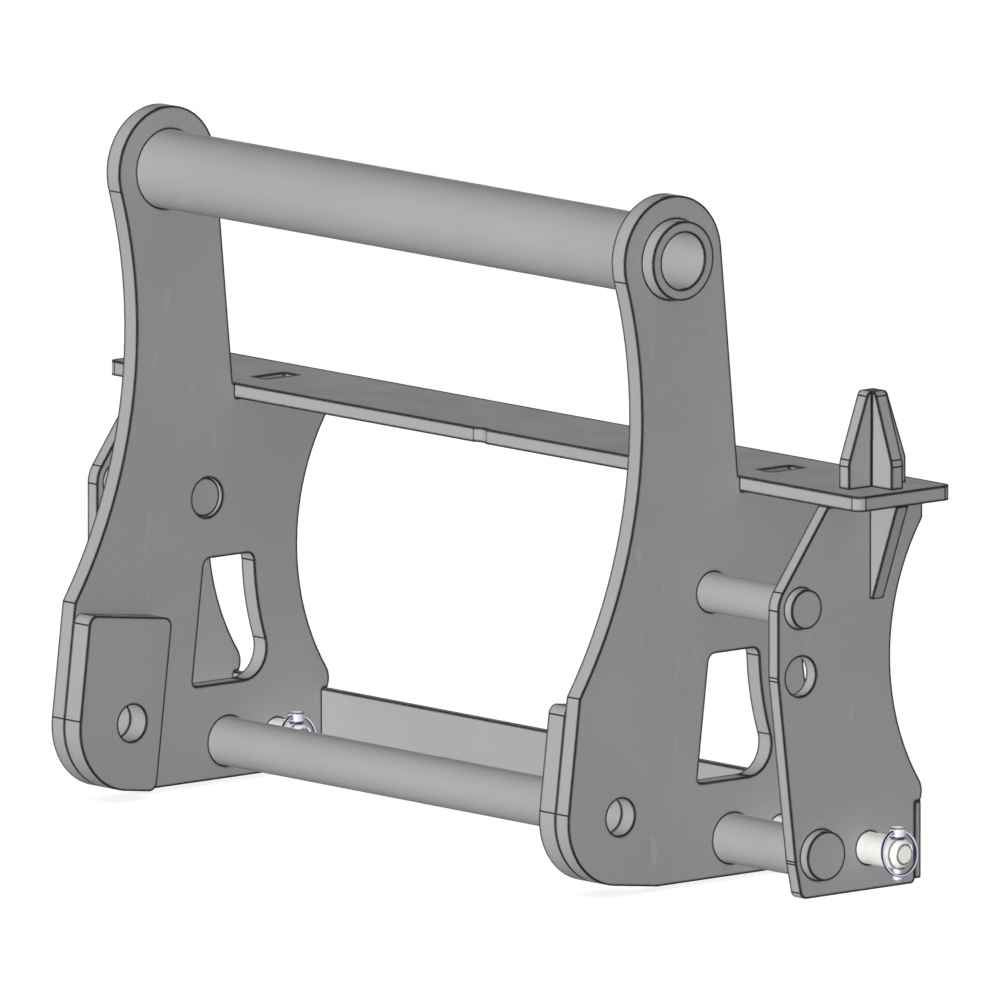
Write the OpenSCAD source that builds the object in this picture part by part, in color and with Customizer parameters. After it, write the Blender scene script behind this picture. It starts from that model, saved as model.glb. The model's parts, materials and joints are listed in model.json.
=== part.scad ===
// Adapter frame between a loader carriage and a tool: a weldment of side plates,
// round bars and a slotted shelf, with two loose locking pins.
// Origin at the middle of the top tube, X along the tube, Y towards the tool, Z up.

/* [Side plates] */
// Clear width between the two main plates
main_gap = 754; // [600:1:900]
// Thickness of a main plate
main_t = 20; // [14:1:28]
// Clear gap between a main plate and its outer plate
ear_gap = 117.5; // [90:0.5:150]
// Thickness of an outer plate
outer_t = 15; // [10:1:22]
// Radius of the hollow in the rear edges
rear_hollow_r = 235.5; // [200:0.5:320]
// Upright land of the rear edges under the shelf
rear_land = 23.5; // [15:0.5:35]
// Radius of the rounded heel above the rear bar
heel_r = 21.5; // [16:0.5:26]
// Height of the heel's centre above the rear bar
heel_rise = 10; // [6:0.5:14]

/* [Main plates] */
// Radius of the rounded head round the top tube
head_r = 64; // [56:0.5:72]
// Centre of the hollow front edge, ahead of the tube axis
front_hollow_y = 531; // [480:1:600]
// Centre of the hollow front edge, below the tube axis
front_hollow_z = 159; // [140:1:180]
// Backward lean of the lower front edge, in degrees
rake = 7.1; // [4:0.1:10]
// Radius of the lower front boss round the lock hole
boss_r = 69; // [60:0.5:76]
// Land between the neck and the shelf's front edge
neck_land = 3; // [1:0.5:8]
// Foot of a main plate below the lower bar's axis
main_foot = 38; // [34:0.5:44]

/* [Window] */
// Window's front edge, behind the main plate's front edge
window_set = 166.5; // [150:0.5:175]
// Web between the window and the rear edge
window_web = 57.5; // [48:0.5:68]
// Top of the window, below the shelf's underside
window_top = 160.5; // [140:0.5:180]
// Height of the window
window_h = 129.5; // [110:0.5:140]
// Radius of the two upper window corners
window_r = 9; // [5:0.5:14]
// Radius of the lower rear window corner
window_foot_r = 30; // [18:0.5:36]
// Radius of the lower front window corner
window_toe_r = 5; // [3:0.5:10]

/* [Loader side] */
// Outside diameter of the top tube
tube_od = 80; // [68:0.5:92]
// Inside diameter of the top tube
tube_id = 57; // [44:0.5:62]
// Length of tube that stands out past each main plate
tube_proj = 15.5; // [8:0.5:25]
// Lock hole, ahead of the tube axis
lock_hole_y = 69; // [62:0.5:76]
// Lock hole, above the lower bar's axis
lock_hole_rise = 37.5; // [30:0.5:52]
// Diameter of the lock hole
lock_hole_d = 37.5; // [28:0.5:46]
// Thickness of a pin pad
pad_t = 25; // [15:1:32]
// Top of a pin pad above the lock hole
pad_top = 108; // [90:0.5:120]
// Back edge of a pin pad behind the lock hole
pad_back = 40.5; // [32:0.5:50]
// Radius of a pin pad's upper corners
pad_r = 10; // [4:0.5:14]
// Radius of a pin pad's lower rear corner
pad_toe_r = 10; // [3:0.5:10]

/* [Shelf] */
// Overhang of the shelf past each outer plate
shelf_over = 45.5; // [36:0.5:60]
// Width of the shelf
shelf_w = 125; // [118:1:130]
// Thickness of the shelf
shelf_t = 15; // [10:0.5:20]
// Front edge of the shelf, behind the tube axis
shelf_y = 89.5; // [86:0.5:94]
// Top of the shelf, below the tube axis
shelf_z = 228.5; // [215:0.5:240]
// Radius of the shelf's corners
shelf_r = 10; // [4:0.5:16]
// Width of the shallow centre mark in the front edge
mark_w = 20; // [12:0.5:30]
// Depth of the centre mark
mark_deep = 3.5; // [2:0.5:6]
// Length of each plate tab in its shelf slot
tab_len = 40; // [30:0.5:50]
// Depth of the tab's top below the shelf's top
tab_recess = 3; // [1:0.5:6]

/* [Outer plates] */
// Front edge of an outer plate, behind the tube axis
outer_y = 23.5; // [16:0.5:28]
// Corner of the knee, below the shelf's underside
knee_drop = 88.5; // [75:0.5:98]
// Radius of the knee and of the two bends below it
bend_r = 30; // [20:1:45]
// Start of the raked lower edge, below the shelf's underside
outer_rake_drop = 168; // [150:1:190]
// Foot of an outer plate below the lower bar's axis
outer_foot = 42.5; // [38:0.5:48]
// Height above the foot where the front edge leans more
outer_heel_rise = 37; // [28:0.5:46]
// Backward lean of that lowest front edge, in degrees
outer_heel_rake = 12.5; // [11:0.5:16]
// Radius of an outer plate's lower front corner
outer_front_r = 8; // [4:0.5:12]
// Radius of an outer plate's lower rear corner
outer_toe_r = 5; // [3:0.5:10]
// Diameter of the open hole in an outer plate
open_hole_d = 40; // [30:0.5:46]
// Open hole, behind the plate's front edge
open_hole_set = 30; // [27:0.5:36]
// Open hole, below the upper rod
open_hole_drop = 69; // [62:0.5:76]

/* [Tool side] */
// Diameter of the lower bar
lower_bar_d = 50; // [42:0.5:58]
// Lower bar, behind the tube axis
lower_bar_y = 79; // [74:0.5:84]
// Lower bar, below the tube axis
lower_bar_z = 593.5; // [588:0.5:600]
// Length of bar and rod past an outer plate
bar_proj = 10; // [5:0.5:16]
// Diameter of an upper rod
upper_rod_d = 40; // [34:0.5:46]
// Upper rod, behind the outer plate's front edge
upper_rod_set = 29; // [26:0.5:34]
// Upper rod, below the tube axis
upper_rod_z = 341.5; // [330:0.5:352]
// Depth of a rod's inner end below the main plate's face
rod_recess = 5; // [2:0.5:9]
// Thickness of the rear cross bar
rear_bar_t = 8; // [5:0.5:9]
// Height of the rear cross bar
rear_bar_h = 78; // [66:0.5:86]
// Face of the rear cross bar, ahead of the heels behind it
rear_bar_set = 1.5; // [0:0.5:3]
// Radius of the rear bar's lower rear edge
rear_bar_r = 2; // [1:0.5:4]

/* [Lugs and gussets] */
// Thickness of the lug plates and gussets
lug_t = 15; // [10:0.5:20]
// Width of a lug plate at its foot
lug_w = 75; // [64:1:88]
// Height of a lug
lug_h = 96.5; // [85:0.5:115]
// Height of the corner where a lug starts to taper
lug_knee_z = 26.5; // [20:0.5:34]
// Taper of a lug's sides, in degrees
lug_taper = 20; // [14:0.1:22]
// Radius of a lug's lower knees
lug_knee_r = 20; // [10:1:30]
// Radius of a lug's top corners
lug_tip_r = 7; // [3:0.5:9]
// Distance of a lug's centre from the shelf's end
lug_inset = 50; // [46:0.5:56]
// Distance of a gusset's top corner from the shelf's end
gusset_set = 4; // [1:0.5:12]
// Height of a gusset
gusset_h = 98.5; // [80:0.5:120]
// Width of a gusset at its foot
gusset_toe = 4; // [2:0.5:10]

/* [Locking pins] */
// Diameter of a locking pin
lock_pin_d = 32; // [24:0.5:36]
// Distance of the locking pin behind the lower bar
lock_pin_set = 65; // [60:0.5:72]
// Length of a locking pin under its head
lock_pin_len = 207; // [195:1:230]
// Chamfer of a locking pin's tip
lock_pin_cham = 6; // [3:0.5:8]
// Diameter of a locking pin's head
lock_head_d = 48; // [42:0.5:56]
// Thickness of a locking pin's head
lock_head_t = 12; // [8:0.5:18]
// Rounding of a locking pin's head
lock_head_r = 3; // [1:0.5:4]
// Gap under the left pin's head as it stands
left_head_gap = 12.5; // [5:0.5:20]
// Distance of the lynch pin from the locking pin's tip
lynch_set = 11; // [9:0.5:14]
// Diameter of a lynch pin
lynch_d = 9; // [7:0.5:11]
// Length of a lynch pin past the locking pin
lynch_tip = 12.5; // [11:0.5:15]
// Chamfer of a lynch pin's tip
lynch_cham = 1.5; // [0.5:0.25:2.5]
// Diameter of a lynch pin's head
lynch_head_d = 16; // [14.5:0.5:18]
// Width across the flats of the lynch pin's head
lynch_head_w = 14; // [12:0.5:14.5]
// Height of a lynch pin's head
lynch_head_h = 10; // [8:0.5:13]
// Radius of the ring, to the middle of its wire
ring_r = 22.5; // [22:0.5:26]
// Diameter of the ring's wire
wire_d = 3.5; // [2.5:0.5:4]

/* [Clearances] */
// Radial clearance of a bar in its welded hole
weld_gap = 0.2; // [0.1:0.05:0.5]
// Clearance round a tab in its slot and between the halved lug plates
slot_gap = 0.2; // [0.1:0.05:0.5]
// Radial clearance of a locking pin in its holes
pin_gap = 0.3; // [0.2:0.05:0.8]
// Radial clearance of a lynch pin and of its ring
lynch_gap = 0.3; // [0.2:0.05:0.5]

/* [Hidden] */
$fn = 96;
// Overshoot of a cutting tool past the face it opens
cut = 1;
// Overlap of a rounding with the straight edges it joins
blend = 0.01;
// Reach of a straight edge into the hollow that ends it
into = 4;
// Facets of the large hollows, and of the thin wires and small roundings
hollow_fn = 360;
wire_fn = 32;

// Sides along X
main_in = main_gap / 2;
main_out = main_in + main_t;
outer_in = main_out + ear_gap;
outer_out = outer_in + outer_t;
shelf_end = outer_out + shelf_over;
LEFT = -1;
RIGHT = 1;

// Levels and depths, in Y and Z
shelf_top = -shelf_z;
shelf_under = shelf_top - shelf_t;
shelf_mid_y = shelf_y + shelf_w / 2;
// Rear edge of all four plates, flush with the shelf's
rear_y = shelf_y + shelf_w;
lower_bar = [lower_bar_y, -lower_bar_z];
lock_hole = [-lock_hole_y, lower_bar.y + lock_hole_rise];
upper_rod = [outer_y + upper_rod_set, -upper_rod_z];
open_hole = [outer_y + open_hole_set, -upper_rod_z - open_hole_drop];
lock_pin = lower_bar + [lock_pin_set, 0];
main_bottom = lower_bar.y - main_foot;
outer_bottom = lower_bar.y - outer_foot;
rear_bar_y = rear_y - rear_bar_set - rear_bar_t;
rear_bar_top = main_bottom + rear_bar_h;

function unit(v) = v / norm(v);
// Point where two circles meet, to the right of the way from a to b
function meet(a, ra, b, rb) =
    let (d = norm(b - a), u = (b - a) / d, along = (ra * ra - rb * rb + d * d) / (2 * d))
    a + along * u + sqrt(ra * ra - along * along) * [u.y, -u.x];
// First point where the line from p along the unit vector u enters a circle
function enter(p, u, c, r) =
    let (b = (p - c) * u, q = (p - c) * (p - c) - r * r)
    p + (-b - sqrt(b * b - q)) * u;
// Tangent point of a circle round the origin, for the tangent that reaches p behind it
function touch(p, r) =
    let (turn = atan2(p.y, p.x) + acos(r / norm(p)))
    r * [cos(turn), sin(turn)];

// Rear edge shared by the main and outer plates
heel = [rear_y - heel_r, rear_bar_top + heel_rise];
rear_corner = [rear_y, shelf_under - rear_land];
rear_centre = meet(heel, rear_hollow_r + heel_r, rear_corner, rear_hollow_r);
heel_toward = unit(rear_centre - heel);

// Front edge of the main plate
front_centre = [-front_hollow_y, -front_hollow_z];
front_hollow_r = norm(front_centre) - head_r;
rake_up = [sin(rake), cos(rake)];
rake_back = [cos(rake), -sin(rake)];
front_touch = lock_hole - boss_r * rake_back;
front_corner = enter(front_touch, rake_up, front_centre, front_hollow_r);
boss_foot = lock_hole - boss_r * rake_up;
foot_corner = boss_foot + rake_back * (boss_foot.y - main_bottom) / sin(rake);
neck_foot = [shelf_y - neck_land, shelf_top];
neck_touch = touch(neck_foot, head_r);

// Places a profile drawn in Y and Z as a plate from x0 to x0 + t
module plate(x0, t) {
    translate([x0, 0, 0])
        rotate([90, 0, 90])
            linear_extrude(height = t)
                children();
}

// Places a plate of thickness t whose inner face is at x on the given side
module side_plate(side, x, t) {
    plate(side == RIGHT ? x : -x - t, t)
        children();
}

// Round bar along X between two faces
module round_bar(at, d, x0, x1) {
    translate([x0, at.x, at.y])
        rotate([0, 90, 0])
            cylinder(d = d, h = x1 - x0);
}

module hole_at(at, d) {
    translate(at)
        circle(d = d);
}

// Rounding that joins straight edges drawn to its tangent points
module disc(at, r) {
    translate(at)
        circle(r = r + blend);
}

// Rear strip of both side plates: the land, the hollow and the heel
module rear_edge() {
    difference() {
        polygon([[shelf_mid_y, heel.y - into], [heel.x, heel.y - into], heel,
            heel + (heel_r + into) * heel_toward, rear_corner - [0, into],
            [rear_y, shelf_under], [shelf_mid_y, shelf_under]]);
        translate(rear_centre)
            circle(r = rear_hollow_r, $fn = hollow_fn);
    }
    disc(heel, heel_r);
}

// Step in the rear edges that the rear bar lies in
module bar_step() {
    translate([rear_bar_y, outer_bottom - cut])
        square([rear_bar_h, rear_bar_top - outer_bottom + cut]);
}

module window_profile() {
    hollow_r = rear_hollow_r + window_web;
    top = shelf_under - window_top;
    foot = top - window_h;
    edge = front_touch + window_set * rake_back;
    // Centre of a corner circle on the raked front edge, at height z
    function on_edge(z, r) =
        let (p = edge + r * rake_back) p + rake_up * (z - p.y) / rake_up.y;
    // Centre of a corner circle that touches the hollow web, at height z
    function on_web(z, r) =
        [rear_centre.x - sqrt(pow(hollow_r + r, 2) - pow(z - rear_centre.y, 2)), z];
    a = on_edge(top - window_r, window_r);
    b = on_web(top - window_r, window_r);
    c = on_web(foot + window_foot_r, window_foot_r);
    d = on_edge(foot + window_toe_r, window_toe_r);
    toward_b = unit(rear_centre - b);
    toward_c = unit(rear_centre - c);
    difference() {
        polygon([d - window_toe_r * rake_back, [d.x, foot], [c.x, foot], c,
            c + (window_foot_r + into) * toward_c, b + (window_r + into) * toward_b, b,
            [b.x, top], [a.x, top], a - window_r * rake_back]);
        translate(rear_centre)
            circle(r = hollow_r, $fn = hollow_fn);
    }
    disc(a, window_r);
    disc(b, window_r);
    disc(c, window_foot_r);
    disc(d, window_toe_r);
}

module main_profile() {
    tab_top = shelf_top - tab_recess;
    difference() {
        union() {
            difference() {
                polygon([[0, 0], (head_r + into) * unit(front_centre),
                    front_corner + into * rake_up, front_touch, lock_hole, boss_foot,
                    foot_corner, [rear_bar_y, main_bottom], [rear_bar_y, heel.y],
                    [shelf_mid_y + into, heel.y], [shelf_mid_y + into, shelf_under],
                    [shelf_y, shelf_under], [shelf_y, shelf_top], neck_foot, neck_touch]);
                translate(front_centre)
                    circle(r = front_hollow_r, $fn = hollow_fn);
            }
            disc([0, 0], head_r);
            disc(lock_hole, boss_r);
            rear_edge();
            translate([shelf_mid_y - tab_len / 2, shelf_under - cut])
                square([tab_len, tab_top - shelf_under + cut]);
        }
        bar_step();
        window_profile();
        hole_at([0, 0], tube_od + 2 * weld_gap);
        hole_at(lock_hole, lock_hole_d);
        hole_at(lower_bar, lower_bar_d + 2 * weld_gap);
        hole_at(upper_rod, upper_rod_d + 2 * weld_gap);
        hole_at(lock_pin, lock_pin_d + 2 * pin_gap);
    }
}

module main_plate(side) {
    color("#868686")
        side_plate(side, main_in, main_t)
            main_profile();
}

module pad_profile() {
    // Corner point in the raked frame of the lock hole: p backwards, q upwards
    function raked(p, q) = lock_hole + p * rake_back + q * rake_up;
    difference() {
        union() {
            polygon([raked(0, 0), raked(0, -boss_r), raked(pad_back - pad_toe_r, -boss_r),
                raked(pad_back, pad_toe_r - boss_r), raked(pad_back, pad_top - pad_r),
                raked(pad_back - pad_r, pad_top), raked(pad_r - boss_r, pad_top),
                raked(-boss_r, pad_top - pad_r), raked(-boss_r, 0)]);
            // Lower front round, kept only on its own side of the pad
            intersection() {
                disc(lock_hole, boss_r);
                polygon([raked(into, into), raked(-2 * boss_r, into),
                    raked(-2 * boss_r, -2 * boss_r), raked(into, -2 * boss_r)]);
            }
            disc(raked(pad_r - boss_r, pad_top - pad_r), pad_r);
            disc(raked(pad_back - pad_r, pad_top - pad_r), pad_r);
            disc(raked(pad_back - pad_toe_r, pad_toe_r - boss_r), pad_toe_r);
        }
        hole_at(lock_hole, lock_hole_d);
    }
}

module pin_pad(side) {
    color("#8a8a8a")
        side_plate(side, main_in - pad_t, pad_t)
            pad_profile();
}

module outer_profile() {
    slope = unit([shelf_y - outer_y, knee_drop]);
    knee = [outer_y, shelf_under - knee_drop];
    knee_reach = bend_r * tan(atan2(slope.x, slope.y) / 2);
    lean_up = [-sin(rake), cos(rake)];
    lean_in = [cos(rake), sin(rake)];
    rake_start = [outer_y, shelf_under - outer_rake_drop];
    rake_reach = bend_r * tan(rake / 2);
    heel_start = [rake_start.x + (rake_start.y - outer_bottom - outer_heel_rise) * tan(rake),
        outer_bottom + outer_heel_rise];
    heel_reach = bend_r * tan((outer_heel_rake - rake) / 2);
    front_toe = [heel_start.x + outer_heel_rise * tan(outer_heel_rake), outer_bottom];
    toe_up = [-sin(outer_heel_rake), cos(outer_heel_rake)];
    toe_reach = outer_front_r * tan((90 - outer_heel_rake) / 2);
    difference() {
        union() {
            polygon([knee + knee_reach * slope, knee - [0, knee_reach],
                rake_start + [0, rake_reach], rake_start - rake_reach * lean_up,
                heel_start + heel_reach * lean_up, heel_start - heel_reach * toe_up,
                front_toe + toe_reach * toe_up, front_toe + [toe_reach, 0],
                [rear_bar_y - outer_toe_r, outer_bottom],
                [rear_bar_y, outer_bottom + outer_toe_r], [rear_bar_y, heel.y],
                [shelf_mid_y + into, heel.y], [shelf_mid_y + into, shelf_under],
                [shelf_y, shelf_under]]);
            rear_edge();
            disc(knee + [bend_r, -knee_reach], bend_r);
            disc(rake_start + [bend_r, rake_reach], bend_r);
            disc(heel_start + heel_reach * lean_up + bend_r * lean_in, bend_r);
            disc([rear_bar_y - outer_toe_r, outer_bottom + outer_toe_r], outer_toe_r);
            disc(front_toe + [toe_reach, outer_front_r], outer_front_r);
        }
        bar_step();
        hole_at(open_hole, open_hole_d);
        hole_at(lower_bar, lower_bar_d + 2 * weld_gap);
        hole_at(upper_rod, upper_rod_d + 2 * weld_gap);
        hole_at(lock_pin, lock_pin_d + 2 * pin_gap);
    }
}

module outer_plate(side) {
    color("#868686")
        side_plate(side, outer_in, outer_t)
            outer_profile();
}

module top_tube() {
    reach = main_out + tube_proj;
    color("#9c9c9c")
        difference() {
            round_bar([0, 0], tube_od, -reach, reach);
            round_bar([0, 0], tube_id, -reach - cut, reach + cut);
        }
}

module shelf_bar() {
    mark_r = (mark_w * mark_w / 4 + mark_deep * mark_deep) / (2 * mark_deep);
    slot_x = main_t + 2 * slot_gap;
    slot_y = tab_len + 2 * slot_gap;
    end_x = shelf_end - shelf_r;
    color("#808080")
        translate([0, 0, shelf_under])
            linear_extrude(height = shelf_t)
                difference() {
                    union() {
                        translate([-end_x, shelf_y])
                            square([2 * end_x, shelf_w]);
                        translate([-shelf_end, shelf_y + shelf_r])
                            square([2 * shelf_end, shelf_w - 2 * shelf_r]);
                        for (sx = [-1, 1], y = [shelf_y + shelf_r, shelf_y + shelf_w - shelf_r])
                            translate([sx * end_x, y])
                                circle(r = shelf_r);
                    }
                    translate([0, shelf_y + mark_deep - mark_r])
                        circle(r = mark_r);
                    for (sx = [-1, 1])
                        translate([sx * (main_in + main_t / 2), shelf_mid_y])
                            square([slot_x, slot_y], center = true);
                }
}

module lower_bar() {
    reach = outer_out + bar_proj;
    color("#a4a4a4")
        round_bar(lower_bar, lower_bar_d, -reach, reach);
}

module upper_rod(side) {
    inner = main_in + rod_recess;
    reach = outer_out + bar_proj;
    color("#a4a4a4")
        round_bar(upper_rod, upper_rod_d, side == RIGHT ? inner : -reach,
            side == RIGHT ? reach : -inner);
}

module rear_cross_bar() {
    color("#a8a8a8")
        plate(-outer_out, 2 * outer_out)
            translate([rear_bar_y, main_bottom])
                union() {
                    square([rear_bar_t - rear_bar_r, rear_bar_h]);
                    translate([0, rear_bar_r])
                        square([rear_bar_t, rear_bar_h - rear_bar_r]);
                    translate([rear_bar_t - rear_bar_r, rear_bar_r])
                        circle(r = rear_bar_r);
                }
}

module gusset(side) {
    x0 = side * outer_out;
    tip = side * (shelf_end - gusset_set);
    color("#787878")
        translate([0, shelf_mid_y + lug_t / 2, 0])
            rotate([90, 0, 0])
                linear_extrude(height = lug_t)
                    polygon([[x0, shelf_under], [tip, shelf_under],
                        [x0 + side * gusset_toe, shelf_under - gusset_h],
                        [x0, shelf_under - gusset_h]]);
}

// Half outline of a lug plate is mirrored about its middle, with its foot at 0
module lug_profile() {
    half = lug_w / 2;
    lean = [-sin(lug_taper), cos(lug_taper)];
    knee = [half, lug_knee_z];
    knee_reach = lug_knee_r * tan(lug_taper / 2);
    tip = knee + lean * (lug_h - lug_knee_z) / lean.y;
    tip_reach = lug_tip_r * tan((90 - lug_taper) / 2);
    for (m = [0, 1])
        mirror([m, 0]) {
            polygon([[0, 0], [half, 0], knee - [0, knee_reach], knee + knee_reach * lean,
                tip - tip_reach * lean, tip - [tip_reach, 0], [0, lug_h]]);
            disc([tip.x - tip_reach, lug_h - lug_tip_r], lug_tip_r);
            intersection() {
                disc(knee - [lug_knee_r, knee_reach], lug_knee_r);
                translate([-half, 0])
                    square([lug_w, lug_h]);
            }
        }
}

// Slot from one end to half height, where the other lug plate passes
module lug_slot(low, high) {
    translate([-lug_t / 2 - slot_gap, low])
        square([lug_t + 2 * slot_gap, high - low]);
}

module lug_plate(spin, low, high) {
    rotate([0, 0, spin])
        rotate([90, 0, 0])
            translate([0, 0, -lug_t / 2])
                linear_extrude(height = lug_t)
                    difference() {
                        lug_profile();
                        lug_slot(low, high);
                    }
}

function lug_place(side) = [side * (shelf_end - lug_inset), shelf_mid_y, shelf_top];

// Plate along Y, slotted from its foot up
module lug_spine(side) {
    color("#8c8c8c")
        translate(lug_place(side))
            lug_plate(90, -cut, lug_h / 2 + slot_gap);
}

// Plate along X, slotted from its top down
module lug_cross(side) {
    color("#a6a6a6")
        translate(lug_place(side))
            lug_plate(0, lug_h / 2, lug_h + cut);
}

// Under-head face of a locking pin at rest
function head_face(side) = side == RIGHT ? main_in - pin_gap : -outer_out - left_head_gap;
function lynch_x(side) = head_face(side) + lock_pin_len - lynch_set;

module locking_pin(side) {
    r = lock_pin_d / 2;
    hr = lock_head_d / 2;
    hub = hr - lock_head_r;
    color("#f3f2ec")
        difference() {
            translate([head_face(side), lock_pin.x, lock_pin.y])
                rotate([0, 90, 0])
                    rotate_extrude()
                        union() {
                            polygon([[0, -lock_head_t], [hub, -lock_head_t],
                                [hr, lock_head_r - lock_head_t], [hr, 0], [r, 0],
                                [r, lock_pin_len - lock_pin_cham],
                                [r - lock_pin_cham, lock_pin_len], [0, lock_pin_len]]);
                            translate([hub, lock_head_r - lock_head_t])
                                circle(r = lock_head_r, $fn = wire_fn);
                        }
            translate([lynch_x(side), lock_pin.x, lock_pin.y - lock_pin_d])
                cylinder(d = lynch_d + 2 * lynch_gap, h = 2 * lock_pin_d);
        }
}

// Heights above the locking pin's axis
head_under = lock_pin_d / 2 + lynch_gap;
hinge_z = head_under + lynch_head_h / 2;
// Clear of the head's flats, and length of its turned-down ends inside the wire
ring_clear = 1;
ring_root = 1;
// Ring geometry in its own plane, measured from the hinge axis
ring_end = lynch_head_w / 2 + ring_clear;
ring_drop = sqrt(ring_r * ring_r - ring_end * ring_end);
ring_tilt = asin((lynch_d / 2 + wire_d / 2 + lynch_gap) / (ring_drop + ring_r));
// Step down to the ring's ends, their diameter, and their depth in the head
ring_step = 0.3;
ring_end_d = wire_d - 2 * ring_step;
ring_stub = 4;

module lynch_pin(side) {
    tip = lock_pin_d / 2 + lynch_tip;
    color("#e8e8f0")
        translate([lynch_x(side), lock_pin.x, lock_pin.y])
            difference() {
                union() {
                    translate([0, 0, lynch_cham - tip])
                        cylinder(d = lynch_d, h = tip + head_under);
                    translate([0, 0, -tip])
                        cylinder(d1 = lynch_d - 2 * lynch_cham, d2 = lynch_d, h = lynch_cham);
                    intersection() {
                        translate([0, 0, head_under])
                            cylinder(d = lynch_head_d, h = lynch_head_h);
                        translate([-lynch_head_d, -lynch_head_w / 2, head_under])
                            cube([2 * lynch_head_d, lynch_head_w, lynch_head_h]);
                    }
                }
                for (s = [-1, 1])
                    translate([0, s * (lynch_head_w / 2 - ring_stub - lynch_gap), hinge_z])
                        rotate([-90 * s, 0, 0])
                            cylinder(d = ring_end_d + 2 * lynch_gap, h = 2 * ring_stub);
            }
}

module lynch_ring(side) {
    open = asin(ring_end / ring_r);
    color("#d8d8e2")
        translate([lynch_x(side), lock_pin.x, lock_pin.y + hinge_z])
            rotate([0, -ring_tilt, 0]) {
                translate([0, 0, -ring_drop])
                    rotate([0, 90, 0])
                        rotate([0, 0, 180 + open])
                            rotate_extrude(angle = 360 - 2 * open)
                                translate([ring_r, 0])
                                    circle(d = wire_d, $fn = wire_fn);
                for (s = [-1, 1])
                    translate([0, s * (ring_end + ring_root), 0])
                        rotate([90 * s, 0, 0])
                            cylinder(d = ring_end_d, h = ring_root + ring_clear + ring_stub,
                                $fn = wire_fn);
            }
}

top_tube();
main_plate(LEFT);  // main_plate_left
main_plate(RIGHT);  // main_plate_right
pin_pad(LEFT);  // pin_pad_left
pin_pad(RIGHT);  // pin_pad_right
shelf_bar();
outer_plate(LEFT);  // outer_plate_left
outer_plate(RIGHT);  // outer_plate_right
lower_bar();
upper_rod(LEFT);  // upper_rod_left
upper_rod(RIGHT);  // upper_rod_right
rear_cross_bar();
gusset(LEFT);  // gusset_left
gusset(RIGHT);  // gusset_right
lug_spine(LEFT);  // lug_spine_left
lug_spine(RIGHT);  // lug_spine_right
lug_cross(LEFT);  // lug_cross_left
lug_cross(RIGHT);  // lug_cross_right
locking_pin(LEFT);  // locking_pin_left
locking_pin(RIGHT);  // locking_pin_right
lynch_pin(LEFT);  // lynch_pin_left
lynch_pin(RIGHT);  // lynch_pin_right
lynch_ring(LEFT);  // lynch_ring_left
lynch_ring(RIGHT);  // lynch_ring_right
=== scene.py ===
"""Loader adapter frame in flat grey paint with plated pins, on a white floor.

The view is the photograph's, from the front right. As in the picture, narrow dark lines follow
the sharp edges, and finer ones mark where a rounding runs into a straight edge.
"""

import json
import math

import bpy
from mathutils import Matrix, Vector


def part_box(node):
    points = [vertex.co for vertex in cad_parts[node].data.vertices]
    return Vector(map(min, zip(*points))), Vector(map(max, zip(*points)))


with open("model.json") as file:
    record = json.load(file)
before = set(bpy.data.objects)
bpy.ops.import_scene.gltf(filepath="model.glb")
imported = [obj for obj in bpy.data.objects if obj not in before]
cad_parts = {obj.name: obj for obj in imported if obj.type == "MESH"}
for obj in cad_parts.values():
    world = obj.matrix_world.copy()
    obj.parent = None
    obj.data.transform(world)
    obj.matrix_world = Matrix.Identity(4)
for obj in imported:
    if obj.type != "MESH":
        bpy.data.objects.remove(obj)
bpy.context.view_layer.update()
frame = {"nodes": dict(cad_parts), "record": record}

# Colours, linear
PAINT_DARK = (0.340, 0.340, 0.341)
PAINT_LIGHT = (0.360, 0.360, 0.359)
PAINT_SCUFF = (0.385, 0.385, 0.383)
PAINT_LINE = (0.025, 0.025, 0.025)
ZINC_DARK = (0.87, 0.865, 0.835)
ZINC_LIGHT = (0.93, 0.925, 0.895)
ZINC_LINE = (0.030, 0.030, 0.027)
CLIP_DARK = (0.72, 0.73, 0.84)
CLIP_LIGHT = (0.80, 0.81, 0.90)
CLIP_LINE = (0.025, 0.025, 0.065)
WHITE = (1, 1, 1)
# The floor as the camera sees it, and as it throws light back on the part
FLOOR_SEEN = (0.90, 0.90, 0.90)
FLOOR_LIT = (0.35, 0.35, 0.35)

# Edge lines: how far the mask reaches, on the paint's upright and level faces and on the pins
PAINT_REACH = 0.0055
PAINT_REACH_LEVEL = 0.0120
PIN_REACH = 0.0060
CLIP_REACH = 0.0034
# Cosines between the face and its rounded normal, where a line begins and is full
LINE_BEGIN = 0.990
LINE_FULL = 0.965
LINE_SAMPLES = 12
# Fine lines at joins and inner corners: half widths where they end and where they are full
JOIN_END = 0.0011
JOIN_FULL = 0.0005
CORNER_END = 0.0024
CORNER_FULL = 0.0014
# The most that a place counts as away from a join
JOIN_FAR = 1.0
# Dark seam round each slot of the shelf: distances from it where the seam ends and is full
SEAM_END = 0.0052
SEAM_FULL = 0.0040
# Level faces are seen nearly edge on: how level they begin and are full, and how much wider
# the fine lines are there
LEVEL_BEGIN = 0.96
LEVEL_FULL = 0.995
LEVEL_WIDER = 6
# How squarely the ring's wire faces along X where the painted shade on its sides begins and is full
SHADE_SIDE_BEGIN = 0.90
SHADE_SIDE_FULL = 0.78

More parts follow.
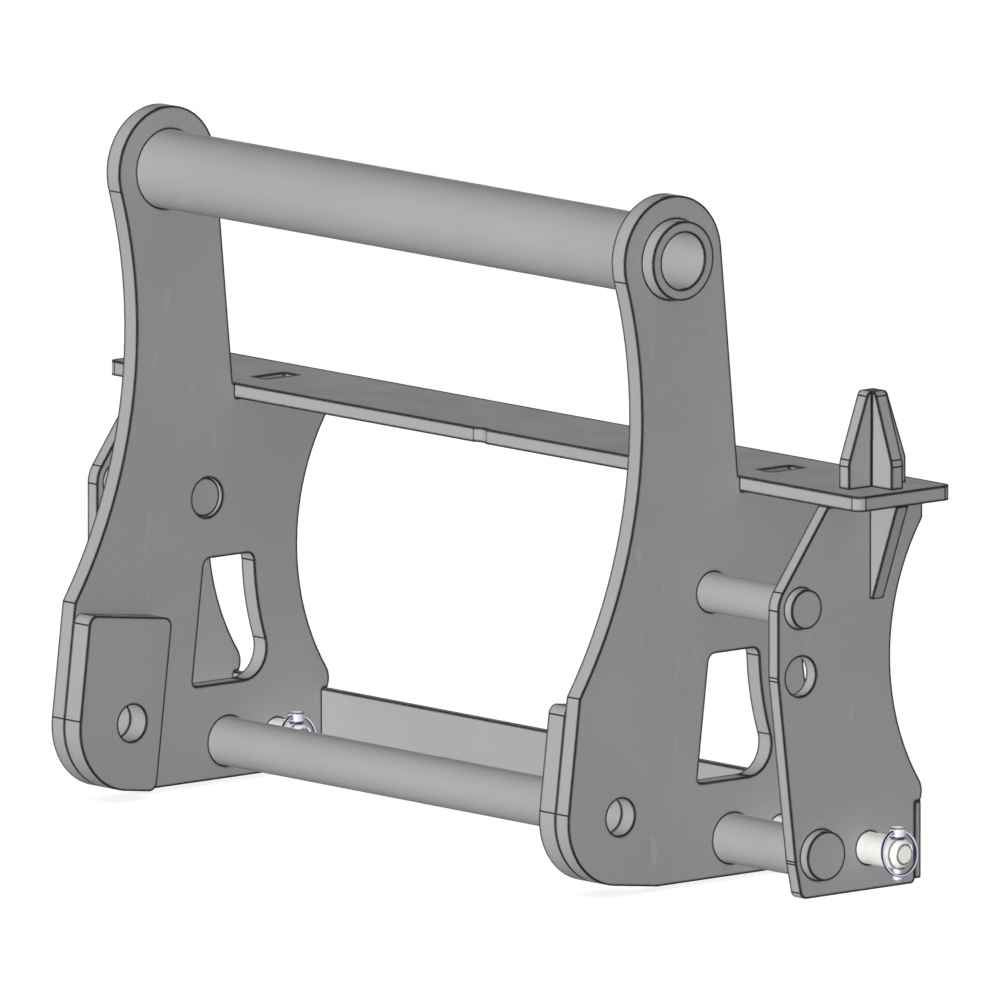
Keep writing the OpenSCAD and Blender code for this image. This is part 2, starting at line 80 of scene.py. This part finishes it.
# Finish: noises in cells per metre and levels of detail, depths in metres
NOISE_RANGE = (0.3, 0.7)
MOTTLE_SCALE = 7
MOTTLE_DETAIL = 4
SCUFF_SCALE = 55
SCUFF_DETAIL = 8
SCUFF_RANGE = (0.66, 0.74)
DUST_SCALE = 24
DUST_DETAIL = 5
PAINT_ROUGHNESS = (0.66, 0.80)
PAINT_SPECULAR = 0.015
PEEL_SCALE = 420
PEEL_DETAIL = 3
PEEL_DEPTH = 0.00006
MARK_SCALE = 60
MARK_DETAIL = 6
MARK_DEPTH = 0.00004
HANDLED_SCALE = 90
HANDLED_DETAIL = 4
ZINC_ROUGHNESS = (0.38, 0.52)
ZINC_SPECULAR = 0.1
ZINC_METALLIC = 0.3
# How much a noise is squeezed along X, Y and Z: upright scuffs, and marks round each pin
EVEN = (1, 1, 1)
SCUFF_SQUEEZE = (1, 1, 0.35)
PIN_SQUEEZE = (9, 1, 1)
CLIP_SQUEEZE = (1, 1, 6)

# Camera
AZIMUTH = math.radians(49.0297)
ELEVATION = math.radians(9.281)
LENS_MM = 1700
SENSOR_MM = 36
# Width of the picture at the part
PICTURE_WIDTH = 1.0041
# Middle of the picture, from the middle of the shelf's front edge
MIDDLE_RIGHT = 0.020285
MIDDLE_DOWN = 0.072009
# Nearest place that the camera sees, and the farthest in times its distance from the part
CLIP_START = 1
CLIP_TIMES = 2

# Studio
FLOOR_DROP = 0.0002
FLOOR_SIZE = 40
FLOOR_GLOW = 0.63
KEY_TOWARDS = (0.426, -0.890, 0.160)
KEY_STRENGTH = 3.45
BACK_TOWARDS = (-0.62, 0.78, 0.04)
BACK_STRENGTH = 2.2
SUN_ANGLE = math.radians(20)
WORLD_LIGHT = 0.26

# Lowest and highest corners of the pieces that carry lines
SHELF_LOW, SHELF_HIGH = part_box("shelf_bar")
MAIN_LOW, MAIN_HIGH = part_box("main_plate_right")
OUTER_LOW, OUTER_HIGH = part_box("outer_plate_right")
REAR_BAR_LOW, REAR_BAR_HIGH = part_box("rear_cross_bar")
LUG_LOW, LUG_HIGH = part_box("lug_spine_right")
LOCK_MOUNT = next(m for m in frame["record"]["mounts"] if m["name"] == "lock_hole_right")

# Places taken from them
SHELF_END, REAR_Y, SHELF_TOP = SHELF_HIGH
SHELF_Y = SHELF_LOW.y
SHELF_UNDER = SHELF_LOW.z
SHELF_MID_Y = (SHELF_Y + REAR_Y) / 2
SHELF_FRONT = Vector((0, SHELF_Y, SHELF_TOP))
MAIN_MID_X = (MAIN_LOW.x + MAIN_HIGH.x) / 2
LOCK_HOLE = Vector(LOCK_MOUNT["pos_m"][1:])
LUG_X = (LUG_LOW.x + LUG_HIGH.x) / 2
LUG_HALF_T = (LUG_HIGH.x - LUG_LOW.x) / 2
LUG_HALF = (LUG_HIGH.y - LUG_LOW.y) / 2
LUG_H = LUG_HIGH.z - LUG_LOW.z

# Shelf: its corners and its slots round the main plates' tabs
SHELF_R = 0.010
TAB_LENGTH = 0.040
SLOT_GAP = 0.0002
SLOT_HALF_X = (MAIN_HIGH.x - MAIN_LOW.x) / 2 + SLOT_GAP
SLOT_HALF_Y = TAB_LENGTH / 2 + SLOT_GAP

# Rear edges of the main and outer plates
REAR_HOLLOW_R = 0.2355
REAR_LAND = 0.0235
HEEL_R = 0.0215
HEEL_RISE = 0.010

# Main plates and their windows
HEAD_R = 0.064
FRONT_CENTRE = Vector((-0.531, -0.159))
RAKE = math.radians(7.1)
BOSS_R = 0.069
NECK_LAND = 0.003
WINDOW_SET = 0.1665
WINDOW_WEB = 0.0575
WINDOW_DROP = 0.1605
WINDOW_H = 0.1295
WINDOW_R = 0.009
WINDOW_FOOT_R = 0.030
WINDOW_TOE_R = 0.005

# Pin pads
PAD_TOP = 0.108
PAD_BACK = 0.0405
PAD_R = 0.010

# Outer plates
KNEE_DROP = 0.0885
BEND_R = 0.030
OUTER_RAKE_DROP = 0.168
OUTER_HEEL_RISE = 0.037
OUTER_HEEL_RAKE = math.radians(12.5)
OUTER_FRONT_R = 0.008
OUTER_TOE_R = 0.005

# Lug plates
LUG_KNEE_Z = 0.0265
LUG_TAPER = math.radians(20)
LUG_KNEE_R = 0.020
LUG_TIP_R = 0.007


def at(a, b):
    """A place or direction in the plane of a plate."""
    return Vector((a, b))


def meet(a, ra, b, rb):
    """Point where two circles meet, to the right of the way from a to b."""
    d = (b - a).length
    u = (b - a) / d
    along = (ra * ra - rb * rb + d * d) / (2 * d)
    return a + along * u + math.sqrt(ra * ra - along * along) * at(u.y, -u.x)


def enter(p, u, c, r):
    """First point where the line from p along the unit vector u enters a circle."""
    b = (p - c).dot(u)
    q = (p - c).dot(p - c) - r * r
    return p + (-b - math.sqrt(b * b - q)) * u


def touch(p, r):
    """Tangent point of a circle round the origin, for the tangent that reaches p behind it."""
    turn = math.atan2(p.y, p.x) + math.acos(r / p.length)
    return r * at(math.cos(turn), math.sin(turn))


def rounding(corner, u, v, r):
    """Both tangent points of a rounding at a corner, with unit vectors along its two sides."""
    reach = r / math.tan(u.angle(v) / 2)
    return [corner + reach * u, corner + reach * v]


RAKE_UP = at(math.sin(RAKE), math.cos(RAKE))
RAKE_BACK = at(math.cos(RAKE), -math.sin(RAKE))
HEEL = at(REAR_Y - HEEL_R, REAR_BAR_HIGH.z + HEEL_RISE)
REAR_CORNER = at(REAR_Y, SHELF_UNDER - REAR_LAND)
REAR_CENTRE = meet(HEEL, REAR_HOLLOW_R + HEEL_R, REAR_CORNER, REAR_HOLLOW_R)


def rear_joins():
    """Joins of the rear edge that the main and outer plates share, as y and z."""
    return [HEEL + HEEL_R * (REAR_CENTRE - HEEL).normalized(), at(REAR_Y, HEEL.y), REAR_CORNER]


def window_joins():
    """Joins of a main plate's window, as y and z, from the centres of its four roundings."""
    hollow_r = REAR_HOLLOW_R + WINDOW_WEB
    top = SHELF_UNDER - WINDOW_DROP
    foot = top - WINDOW_H
    edge = LOCK_HOLE + (WINDOW_SET - BOSS_R) * RAKE_BACK

    def front_centre(z, r):
        p = edge + r * RAKE_BACK
        return p + RAKE_UP * (z - p.y) / RAKE_UP.y

    def rear_centre(z, r):
        return at(REAR_CENTRE.x - math.sqrt((hollow_r + r) ** 2 - (z - REAR_CENTRE.y) ** 2), z)

    def on_web(centre, r):
        return centre + r * (REAR_CENTRE - centre).normalized()

    top_front = front_centre(top - WINDOW_R, WINDOW_R)
    top_rear = rear_centre(top - WINDOW_R, WINDOW_R)
    foot_rear = rear_centre(foot + WINDOW_FOOT_R, WINDOW_FOOT_R)
    foot_front = front_centre(foot + WINDOW_TOE_R, WINDOW_TOE_R)
    return [top_front - WINDOW_R * RAKE_BACK, at(top_front.x, top),
            at(top_rear.x, top), on_web(top_rear, WINDOW_R),
            on_web(foot_rear, WINDOW_FOOT_R), at(foot_rear.x, foot),
            at(foot_front.x, foot), foot_front - WINDOW_TOE_R * RAKE_BACK]


def main_joins():
    """Joins of a main plate's edges, as y and z."""
    front_touch = LOCK_HOLE - BOSS_R * RAKE_BACK
    front_corner = enter(front_touch, RAKE_UP, FRONT_CENTRE, FRONT_CENTRE.length - HEAD_R)
    boss_foot = LOCK_HOLE - BOSS_R * RAKE_UP
    foot_corner = boss_foot + RAKE_BACK * (boss_foot.y - MAIN_LOW.z) / math.sin(RAKE)
    neck_touch = touch(at(SHELF_Y - NECK_LAND, SHELF_TOP), HEAD_R)
    front = [HEAD_R * FRONT_CENTRE.normalized(), front_corner, front_touch, boss_foot]
    return front + [foot_corner, neck_touch] + rear_joins() + window_joins()


def pad_joins():
    """Joins of a pin pad's edges, as y and z."""
    def raked(p, q):
        return LOCK_HOLE + p * RAKE_BACK + q * RAKE_UP

    upper_front = rounding(raked(-BOSS_R, PAD_TOP), -RAKE_UP, RAKE_BACK, PAD_R)
    upper_rear = rounding(raked(PAD_BACK, PAD_TOP), -RAKE_BACK, -RAKE_UP, PAD_R)
    toe = rounding(raked(PAD_BACK, -BOSS_R), RAKE_UP, -RAKE_BACK, PAD_R)
    return [raked(-BOSS_R, 0), raked(0, -BOSS_R)] + upper_front + upper_rear + toe


def outer_joins():
    """Joins of an outer plate's edges, as y and z."""
    front_y, bottom = OUTER_LOW.yz
    slope = at(SHELF_Y - front_y, KNEE_DROP).normalized()
    lean_up = at(-math.sin(RAKE), math.cos(RAKE))
    toe_up = at(-math.sin(OUTER_HEEL_RAKE), math.cos(OUTER_HEEL_RAKE))
    rake_start = at(front_y, SHELF_UNDER - OUTER_RAKE_DROP)
    fall = rake_start.y - bottom - OUTER_HEEL_RISE
    heel_start = rake_start + at(fall * math.tan(RAKE), -fall)
    toe = heel_start + at(OUTER_HEEL_RISE * math.tan(OUTER_HEEL_RAKE), -OUTER_HEEL_RISE)
    knee = rounding(at(front_y, SHELF_UNDER - KNEE_DROP), slope, at(0, -1), BEND_R)
    rake_bend = rounding(rake_start, at(0, 1), -lean_up, BEND_R)
    heel_bend = rounding(heel_start, lean_up, -toe_up, BEND_R)
    front = rounding(toe, toe_up, at(1, 0), OUTER_FRONT_R)
    rear = rounding(at(REAR_BAR_LOW.y, bottom), at(0, 1), at(-1, 0), OUTER_TOE_R)
    return knee + rake_bend + heel_bend + front + rear + rear_joins()


def lug_joins(middle):
    """Joins of a lug plate's edges, as the place across it and z."""
    lean = at(-math.sin(LUG_TAPER), math.cos(LUG_TAPER))
    knee = at(LUG_HALF, LUG_KNEE_Z)
    tip = knee + lean * (LUG_H - LUG_KNEE_Z) / lean.y
    half = rounding(knee, at(0, -1), lean, LUG_KNEE_R) + rounding(tip, -lean, at(-1, 0), LUG_TIP_R)
    return [at(middle + side * p.x, SHELF_TOP + p.y) for p in half for side in (-1, 1)]


def corner_joins(x):
    """Upright corners where a lug plate or gusset meets a face at x, as x and y."""
    return [at(x, SHELF_MID_Y + side * LUG_HALF_T) for side in (-1, 1)]


def shelf_joins():
    """Upright joins at the shelf's four corners, as the distance from the middle and y."""
    return [at(SHELF_END - SHELF_R, SHELF_Y), at(SHELF_END, SHELF_Y + SHELF_R),
            at(SHELF_END - SHELF_R, REAR_Y), at(SHELF_END, REAR_Y - SHELF_R)]


def new_node(nt, kind, **inputs):
    """A shader node, with values for its inputs by name."""
    n = nt.nodes.new("ShaderNode" + kind)
    for name, value in inputs.items():
        n.inputs[name.replace("_", " ")].default_value = value
    return n


def math_node(nt, operation, *values):
    """A Math node, each of its values a number or taken from another node."""
    n = new_node(nt, "Math")
    n.operation = operation
    for socket, value in zip(n.inputs, values):
        if isinstance(value, (int, float)):
            socket.default_value = value
        else:
            nt.links.new(value, socket)
    return n.outputs["Value"]


def parts_of(nt, vector):
    """The x, y and z of a vector."""
    n = new_node(nt, "SeparateXYZ")
    nt.links.new(vector, n.inputs["Vector"])
    return [n.outputs[axis] for axis in "XYZ"]


def object_place(nt):
    """The place on the piece, which at rest is the place in the frame."""
    return new_node(nt, "TexCoord").outputs["Object"]


def noise(nt, scale, detail, squeeze=EVEN):
    """Noise in object space, in cells of 1 / scale metres, which squeeze divides on each axis."""
    mapping = new_node(nt, "Mapping", Scale=squeeze)
    texture = new_node(nt, "TexNoise", Scale=scale, Detail=detail)
    nt.links.new(object_place(nt), mapping.inputs["Vector"])
    nt.links.new(mapping.outputs["Vector"], texture.inputs["Vector"])
    return texture.outputs["Fac"]


def spread(nt, value, low, high, to_low=0.0, to_high=1.0):
    """The value's range low to high, drawn out smoothly to another range."""
    n = new_node(nt, "MapRange", From_Min=low, From_Max=high, To_Min=to_low, To_Max=to_high)
    n.interpolation_type = "SMOOTHSTEP"
    nt.links.new(value, n.inputs["Value"])
    return n.outputs["Result"]


def mix(nt, factor, a, b):
    """A mix of two colours, each written out or taken from another node."""
    n = new_node(nt, "Mix")
    n.data_type = "RGBA"
    nt.links.new(factor, n.inputs["Factor"])
    for name, colour in (("A", a), ("B", b)):
        socket = next(s for s in n.inputs if s.name == name and s.type == "RGBA")
        if isinstance(colour, tuple):
            socket.default_value = (*colour, 1)
        else:
            nt.links.new(colour, socket)
    return next(s for s in n.outputs if s.type == "RGBA")


def levelness(nt):
    """1 on level faces and 0 on upright ones."""
    normal = new_node(nt, "NewGeometry").outputs["Normal"]
    return math_node(nt, "ABSOLUTE", parts_of(nt, normal)[2])


def on_level(nt, upright, level):
    """The second value on level faces, and the first on all others."""
    return spread(nt, levelness(nt), LEVEL_BEGIN, LEVEL_FULL, upright, level)


def edge_mask(nt, reach):
    """1 in a narrow band along every sharp edge, and 0 elsewhere."""
    bevel = new_node(nt, "Bevel")
    bevel.samples = LINE_SAMPLES
    if isinstance(reach, float):
        bevel.inputs["Radius"].default_value = reach
    else:
        nt.links.new(reach, bevel.inputs["Radius"])
    dot = new_node(nt, "VectorMath")
    dot.operation = "DOT_PRODUCT"
    nt.links.new(bevel.outputs["Normal"], dot.inputs[0])
    nt.links.new(new_node(nt, "NewGeometry").outputs["Normal"], dot.inputs[1])
    return spread(nt, dot.outputs["Value"], LINE_BEGIN, LINE_FULL)


def join_mask(nt, axis, joins, end, full):
    """1 on fine lines along one axis, through joins given in the plane across it."""
    x, y, z = parts_of(nt, object_place(nt))
    x = math_node(nt, "ABSOLUTE", x)
    across = new_node(nt, "CombineXYZ")
    for value, socket in zip({"X": (y, z), "Y": (x, z), "Z": (x, y)}[axis], across.inputs):
        nt.links.new(value, socket)
    nearest = JOIN_FAR
    for join in joins:
        gap = new_node(nt, "VectorMath")
        gap.operation = "DISTANCE"
        nt.links.new(across.outputs["Vector"], gap.inputs[0])
        gap.inputs[1].default_value = (join.x, join.y, 0)
        nearest = math_node(nt, "MINIMUM", gap.outputs["Value"], nearest)
    if axis != "Z":
        nearest = math_node(nt, "DIVIDE", nearest, on_level(nt, 1, LEVEL_WIDER))
    return spread(nt, nearest, end, full)


def seam_mask(nt):
    """1 on the level faces close round the two slots of the shelf."""
    x, y, _ = parts_of(nt, object_place(nt))
    x = math_node(nt, "ABSOLUTE", x)
    past = []
    for place, middle, half in ((x, MAIN_MID_X, SLOT_HALF_X), (y, SHELF_MID_Y, SLOT_HALF_Y)):
        from_middle = math_node(nt, "ABSOLUTE", math_node(nt, "SUBTRACT", place, middle))
        past.append(math_node(nt, "MAXIMUM", math_node(nt, "SUBTRACT", from_middle, half), 0))
    near = spread(nt, math_node(nt, "ADD", *past), SEAM_END, SEAM_FULL)
    return math_node(nt, "MULTIPLY", near, on_level(nt, 0, 1))


def relief(nt, bsdf, height, depth):
    """A bump of the given depth in metres."""
    bump = new_node(nt, "Bump", Distance=depth)
    nt.links.new(height, bump.inputs["Height"])
    nt.links.new(bump.outputs["Normal"], bsdf.inputs["Normal"])


def new_material(name):
    """A material with its node tree and its shader."""
    m = bpy.data.materials.new(name)
    m.use_nodes = True
    return m, m.node_tree, m.node_tree.nodes["Principled BSDF"]


def paint_material(name, axis=None, joins=(), corners=(), seam=False, dark_above=None):
    """Flat grey paint: soft mottling, a few paler scuffs and a faint orange peel.

    Fine lines run along the axis through the joins, and upwards through the inner corners.
    Above the height dark_above, the tops are so narrow that the lines along their sides meet.
    """
    m, nt, bsdf = new_material(name)
    mottle = spread(nt, noise(nt, MOTTLE_SCALE, MOTTLE_DETAIL), *NOISE_RANGE)
    colour = mix(nt, mottle, PAINT_DARK, PAINT_LIGHT)
    scuff = spread(nt, noise(nt, SCUFF_SCALE, SCUFF_DETAIL, SCUFF_SQUEEZE), *SCUFF_RANGE)
    colour = mix(nt, scuff, colour, PAINT_SCUFF)
    line = edge_mask(nt, on_level(nt, PAINT_REACH, PAINT_REACH_LEVEL))
    if joins:
        line = math_node(nt, "MAXIMUM", line, join_mask(nt, axis, joins, JOIN_END, JOIN_FULL))
    if corners:
        line = math_node(nt, "MAXIMUM", line, join_mask(nt, "Z", corners, CORNER_END, CORNER_FULL))
    if seam:
        line = math_node(nt, "MAXIMUM", line, seam_mask(nt))
    if dark_above:
        above = math_node(nt, "GREATER_THAN", parts_of(nt, object_place(nt))[2], dark_above)
        top = math_node(nt, "MULTIPLY", above, on_level(nt, 0, 1))
        line = math_node(nt, "MAXIMUM", line, top)
    nt.links.new(mix(nt, line, colour, PAINT_LINE), bsdf.inputs["Base Color"])
    dust = spread(nt, noise(nt, DUST_SCALE, DUST_DETAIL), *NOISE_RANGE, *PAINT_ROUGHNESS)
    nt.links.new(dust, bsdf.inputs["Roughness"])
    bsdf.inputs["Specular IOR Level"].default_value = PAINT_SPECULAR
    relief(nt, bsdf, noise(nt, PEEL_SCALE, PEEL_DETAIL), PEEL_DEPTH)
    return m


def plated_material(name, dark, light, line, reach, squeeze=EVEN, shaded_sides=False):
    """Pale zinc plating with fine marks, and dark lines that aren't metallic; shaded_sides adds
    painted shade.
    """
    m, nt, bsdf = new_material(name)
    marks = noise(nt, MARK_SCALE, MARK_DETAIL, squeeze)
    colour = mix(nt, spread(nt, marks, *NOISE_RANGE), dark, light)
    mask = edge_mask(nt, reach)
    # Painted shade: the wire's sides that turn away from X take the dark line colour
    if shaded_sides:
        normal = new_node(nt, "TexCoord").outputs["Normal"]
        outward = math_node(nt, "ABSOLUTE", parts_of(nt, normal)[0])
        mask = math_node(nt, "MAXIMUM", mask, spread(nt, outward, SHADE_SIDE_BEGIN, SHADE_SIDE_FULL))
    nt.links.new(mix(nt, mask, colour, line), bsdf.inputs["Base Color"])
    handled = spread(nt, noise(nt, HANDLED_SCALE, HANDLED_DETAIL), *NOISE_RANGE, *ZINC_ROUGHNESS)
    nt.links.new(handled, bsdf.inputs["Roughness"])
    nt.links.new(spread(nt, mask, 0, 1, ZINC_METALLIC, 0), bsdf.inputs["Metallic"])
    bsdf.inputs["Specular IOR Level"].default_value = ZINC_SPECULAR
    relief(nt, bsdf, marks, MARK_DEPTH)
    return m


def dress(materials):
    """Gives each node the material whose key its name begins with, or else plain paint."""
    for name, obj in frame["nodes"].items():
        chosen = next((m for start, m in materials.items() if name.startswith(start)), None)
        obj.data.materials.clear()
        obj.data.materials.append(chosen or materials["paint"])


def dress_all():
    """Makes all materials of the part and gives each node its own."""
    crossing = corner_joins(LUG_X - LUG_HALF_T) + corner_joins(LUG_X + LUG_HALF_T)
    materials = {
        "main_plate": paint_material("main_plate_paint", "X", main_joins()),
        "pin_pad": paint_material("pin_pad_paint", "X", pad_joins(),
                                  dark_above=LOCK_HOLE.y + BOSS_R),
        "outer_plate": paint_material("outer_plate_paint", "X", outer_joins()),
        "lug_spine": paint_material("lug_spine_paint", "X", lug_joins(SHELF_MID_Y), crossing,
                                    dark_above=SHELF_TOP),
        "lug_cross": paint_material("lug_cross_paint", "Y", lug_joins(LUG_X), crossing,
                                    dark_above=SHELF_TOP),
        "gusset": paint_material("gusset_paint", corners=corner_joins(OUTER_HIGH.x)),
        "shelf_bar": paint_material("shelf_paint", "Z", shelf_joins(), seam=True),
        "paint": paint_material("paint")}
    materials["locking_pin"] = plated_material("pin_zinc", ZINC_DARK, ZINC_LIGHT, ZINC_LINE,
                                               PIN_REACH, PIN_SQUEEZE)
    materials["lynch_pin"] = plated_material("clip_zinc", CLIP_DARK, CLIP_LIGHT, CLIP_LINE,
                                             CLIP_REACH, CLIP_SQUEEZE)
    # The ring's wire gets painted shade on the sides that turn away from X
    materials["lynch_ring"] = plated_material("ring_zinc", CLIP_DARK, CLIP_LIGHT, CLIP_LINE,
                                              CLIP_REACH, shaded_sides=True)
    dress(materials)


def add_object(name, data):
    """A new object in the scene, turned by a quaternion."""
    obj = bpy.data.objects.new(name, data)
    bpy.context.scene.collection.objects.link(obj)
    obj.rotation_mode = "QUATERNION"
    return obj


def add_camera():
    """The photograph's view, through a long lens from far away."""
    level = math.cos(ELEVATION)
    back = Vector((math.sin(AZIMUTH) * level, -math.cos(AZIMUTH) * level, math.sin(ELEVATION)))
    right = Vector((math.cos(AZIMUTH), math.sin(AZIMUTH), 0))
    up = back.cross(right)
    distance = PICTURE_WIDTH * LENS_MM / SENSOR_MM
    data = bpy.data.cameras.new("camera")
    data.lens = LENS_MM
    data.sensor_width = SENSOR_MM
    data.clip_start = CLIP_START
    data.clip_end = CLIP_TIMES * distance
    obj = add_object("camera", data)
    obj.location = SHELF_FRONT + right * MIDDLE_RIGHT - up * MIDDLE_DOWN + back * distance
    obj.rotation_quaternion = (-back).to_track_quat("-Z", "Y")
    bpy.context.scene.camera = obj


def add_sun(name, towards, strength):
    """A shadowless sun, in the direction towards as seen from the part."""
    data = bpy.data.lights.new(name, "SUN")
    data.energy = strength
    data.angle = SUN_ANGLE
    data.use_shadow = False
    obj = add_object(name, data)
    obj.rotation_quaternion = Vector(towards).to_track_quat("Z", "Y")


def seen_mask(nt):
    """1 for what the camera sees, straight or by way of a mirror or glass, and 0 for light."""
    path = new_node(nt, "LightPath")
    seen = math_node(nt, "MAXIMUM", path.outputs["Is Camera Ray"], path.outputs["Is Glossy Ray"])
    return math_node(nt, "MAXIMUM", seen, path.outputs["Is Transmission Ray"])


def add_world():
    """Even light from all round, and plain white where it's seen."""
    world = bpy.data.worlds.new("studio")
    bpy.context.scene.world = world
    world.use_nodes = True
    nt = world.node_tree
    nt.nodes.clear()
    light = new_node(nt, "Background", Color=(*WHITE, 1), Strength=WORLD_LIGHT)
    shown = new_node(nt, "Background", Color=(*WHITE, 1), Strength=1)
    blend = new_node(nt, "MixShader")
    out = new_node(nt, "OutputWorld")
    nt.links.new(seen_mask(nt), blend.inputs["Fac"])
    nt.links.new(light.outputs["Background"], blend.inputs[1])
    nt.links.new(shown.outputs["Background"], blend.inputs[2])
    nt.links.new(blend.outputs["Shader"], out.inputs["Surface"])


def floor_material():
    """White where it's seen, but for the part's soft shadow, and open from below."""
    m, nt, bsdf = new_material("floor")
    seen = seen_mask(nt)
    nt.links.new(mix(nt, seen, FLOOR_LIT, FLOOR_SEEN), bsdf.inputs["Base Color"])
    bsdf.inputs["Roughness"].default_value = 1
    bsdf.inputs["Specular IOR Level"].default_value = 0
    glow = new_node(nt, "Emission", Color=(*WHITE, 1))
    nt.links.new(math_node(nt, "MULTIPLY", seen, FLOOR_GLOW), glow.inputs["Strength"])
    lit = new_node(nt, "AddShader")
    nt.links.new(bsdf.outputs["BSDF"], lit.inputs[0])
    nt.links.new(glow.outputs["Emission"], lit.inputs[1])
    open_below = new_node(nt, "MixShader")
    nt.links.new(new_node(nt, "NewGeometry").outputs["Backfacing"], open_below.inputs["Fac"])
    nt.links.new(lit.outputs["Shader"], open_below.inputs[1])
    nt.links.new(new_node(nt, "BsdfTransparent").outputs["BSDF"], open_below.inputs[2])
    nt.links.new(open_below.outputs["Shader"], nt.nodes["Material Output"].inputs["Surface"])
    return m


def add_floor():
    """A level square just under the lowest edges of the part."""
    half = FLOOR_SIZE / 2
    level = OUTER_LOW.z - FLOOR_DROP
    corners = [(x, y, level) for x, y in ((-half, -half), (half, -half), (half, half), (-half, half))]
    mesh = bpy.data.meshes.new("floor")
    mesh.from_pydata(corners, [], [(0, 1, 2, 3)])
    mesh.materials.append(floor_material())
    add_object("floor", mesh)


def add_studio():
    """Both suns, the world, the floor and plain colours."""
    add_sun("key", KEY_TOWARDS, KEY_STRENGTH)
    add_sun("back", BACK_TOWARDS, BACK_STRENGTH)
    add_world()
    add_floor()
    bpy.context.scene.view_settings.view_transform = "Standard"


dress_all()
add_camera()
add_studio()
